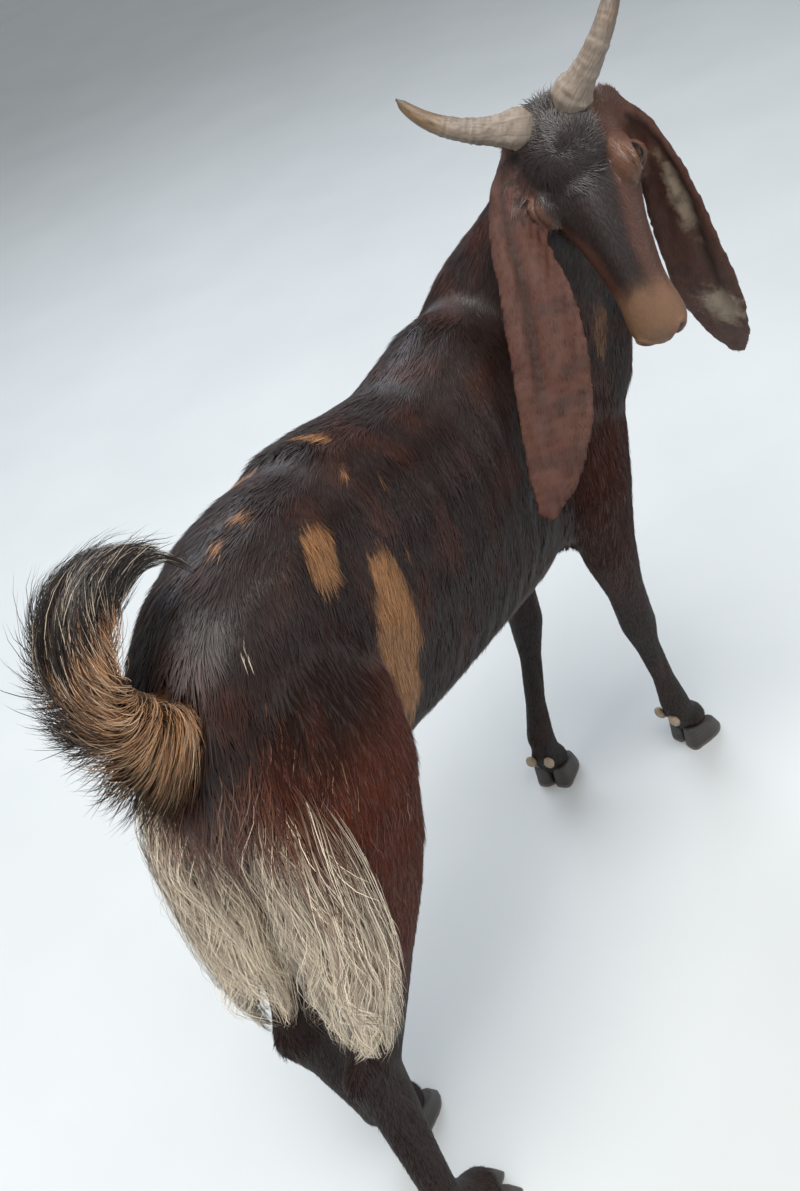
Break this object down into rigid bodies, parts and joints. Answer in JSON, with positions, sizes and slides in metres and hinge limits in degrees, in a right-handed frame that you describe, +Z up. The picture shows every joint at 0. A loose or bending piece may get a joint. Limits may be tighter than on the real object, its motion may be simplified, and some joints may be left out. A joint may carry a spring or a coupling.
{
  "type": "long-eared goat, life-size still model",
  "caption": "Standing goat with its head turned back over its right side, long hanging ears, short swept horns, a curled plume tail and long pale breech hair.",
  "frame": {"origin": "on the floor, under the middle of the box round the whole goat", "axes": "+Z is up. The goat's body faces -Y and its left side is +X."},
  "size_m": [0.387, 0.8808, 1.0385],
  "materials": {
    "coat": "short glossy hair",
    "face_coat": "short fine hair",
    "ear_coat": "very short hair over skin",
    "pale_hair": "long wavy hair",
    "tan_hair": "long straight hair",
    "horn": "ringed horn, satin",
    "hoof": "worn hoof horn, satin",
    "dewclaw": "pale horn, satin",
    "eye": "wet gloss"
  },
  "bodies": {
    "root": {"leg_fore_left": "coat", "claw_fore_left_outer": "hoof", "dewclaw_fore_left_outer": "dewclaw", "claw_fore_left_inner": "hoof", "dewclaw_fore_left_inner": "dewclaw", "leg_fore_right": "coat", "claw_fore_right_outer": "hoof", "dewclaw_fore_right_outer": "dewclaw", "claw_fore_right_inner": "hoof", "dewclaw_fore_right_inner": "dewclaw", "leg_hind_left": "coat", "claw_hind_left_outer": "hoof", "dewclaw_hind_left_outer": "dewclaw", "claw_hind_left_inner": "hoof", "dewclaw_hind_left_inner": "dewclaw", "leg_hind_right": "coat", "claw_hind_right_outer": "hoof", "dewclaw_hind_right_outer": "dewclaw", "claw_hind_right_inner": "hoof", "dewclaw_hind_right_inner": "dewclaw", "head": "face_coat", "eye_left": "eye", "horn_left": "horn", "ear_left": "ear_coat", "eye_right": "eye", "horn_right": "horn", "ear_right": "ear_coat", "neck": "coat", "trunk": "coat", "tail": "tan_hair", "breech_hair_left": "pale_hair", "breech_hair_right": "pale_hair"}
  },
  "joints": []
}
